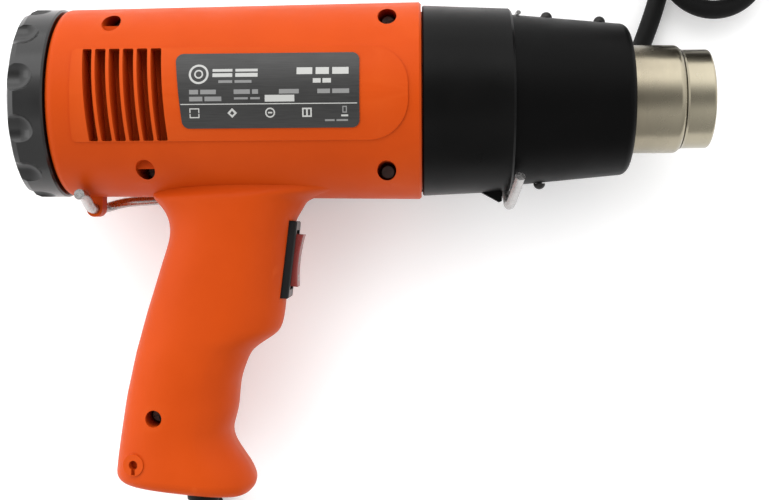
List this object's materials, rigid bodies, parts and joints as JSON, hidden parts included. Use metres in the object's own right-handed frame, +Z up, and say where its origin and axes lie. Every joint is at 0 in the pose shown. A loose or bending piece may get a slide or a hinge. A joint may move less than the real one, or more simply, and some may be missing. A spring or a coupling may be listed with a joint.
{
  "type": "heat gun",
  "caption": "Pistol-grip electric heat gun with a stepped nozzle, adjustable rear air intake, rocker switch, folding wire stand and mains cord.",
  "frame": {"origin": "bottom centre of the gun's box without its cord; the gun lies on its left side", "axes": "+X along the barrel towards the nozzle, +Y from the handle's foot to the top of the barrel, +Z up, out of the right-hand shell"},
  "size_m": [0.2716, 0.4123, 0.0706],
  "materials": {
    "housing": "fine moulded texture, satin",
    "cap_plastic": "slightly glossy moulded black",
    "collar_plastic": "satin moulded black",
    "sleeve_plastic": "satin heat-resistant black",
    "inner_plastic": "moulded black",
    "switch_plastic": "moulded black",
    "rocker": "glossy red",
    "label": "printed film with a metallic look",
    "screw_steel": "blackened zinc",
    "bright_steel": "bright zinc",
    "nozzle_steel": "warm nickel-plated steel",
    "motor_steel": "zinc-plated can",
    "mica": "mica sheet",
    "ceramic": "mica and ceramic former",
    "heater_wire": "oxidised resistance wire",
    "brass": "plain",
    "board": "laminate",
    "lead_insulation": "silicone sleeving",
    "chrome_wire": "bright",
    "cord_rubber": "matt black rubber",
    "plug_rubber": "moulded black",
    "pin_metal": "nickel-plated",
    "tie": "woven hook-and-loop strap"
  },
  "bodies": {
    "housing": {"right_shell": "housing", "left_shell": "housing", "shell_screws": "screw_steel", "rating_label": "label", "intake_plate": "inner_plastic", "cap_pivot_screw": "screw_steel", "front_collar": "collar_plastic", "cone_sleeve": "sleeve_plastic", "sleeve_rivets": "bright_steel", "sleeve_clip": "bright_steel", "nozzle": "nozzle_steel", "heater_bulkhead": "mica", "mica_tube": "mica", "element_former": "ceramic", "heater_coil": "heater_wire", "thermal_fuse": "bright_steel", "motor_body": "motor_steel", "motor_end_cap": "inner_plastic", "motor_terminals": "brass", "motor_carrier": "inner_plastic", "fan_shroud": "inner_plastic", "control_board": "board", "board_components": "inner_plastic", "switch_body": "switch_plastic", "switch_terminals": "brass", "mains_leads": "lead_insulation", "switch_lead": "lead_insulation", "heater_leads": "lead_insulation", "strain_relief": "cord_rubber", "cord_inner_end": "cord_rubber", "cord_clamp": "inner_plastic", "clamp_screws": "screw_steel", "cord_tube": "cord_rubber", "cord_hank": "cord_rubber", "hank_tie": "tie", "plug_body": "plug_rubber", "plug_pins": "pin_metal"},
    "rotor": {"fan": "inner_plastic", "motor_shaft": "bright_steel"},
    "cap": {"rear_cap": "cap_plastic"},
    "rocker": {"switch_rocker": "rocker"},
    "stand": {"stand_wire": "chrome_wire"}
  },
  "joints": [
    {"name": "fan_spin", "type": "hinge", "parent": "housing", "child": "rotor", "pos_m": [-0.055, 0.05185, 0.035], "axis": [1, 0, 0], "continuous": true},
    {"name": "cap_turn", "type": "hinge", "parent": "housing", "child": "cap", "pos_m": [-0.114, 0.05185, 0.035], "axis": [1, 0, 0], "range_deg": [0, 18]},
    {"name": "rocker_tilt", "type": "hinge", "parent": "housing", "child": "rocker", "pos_m": [-0.03129, -0.00391, 0.035], "axis": [0, 0, 1], "range_deg": [-10, 10]},
    {"name": "stand_swing", "type": "hinge", "parent": "housing", "child": "stand", "pos_m": [-0.099, 0.01405, 0.035], "axis": [0, 0, -1], "range_deg": [0, 48]}
  ]
}
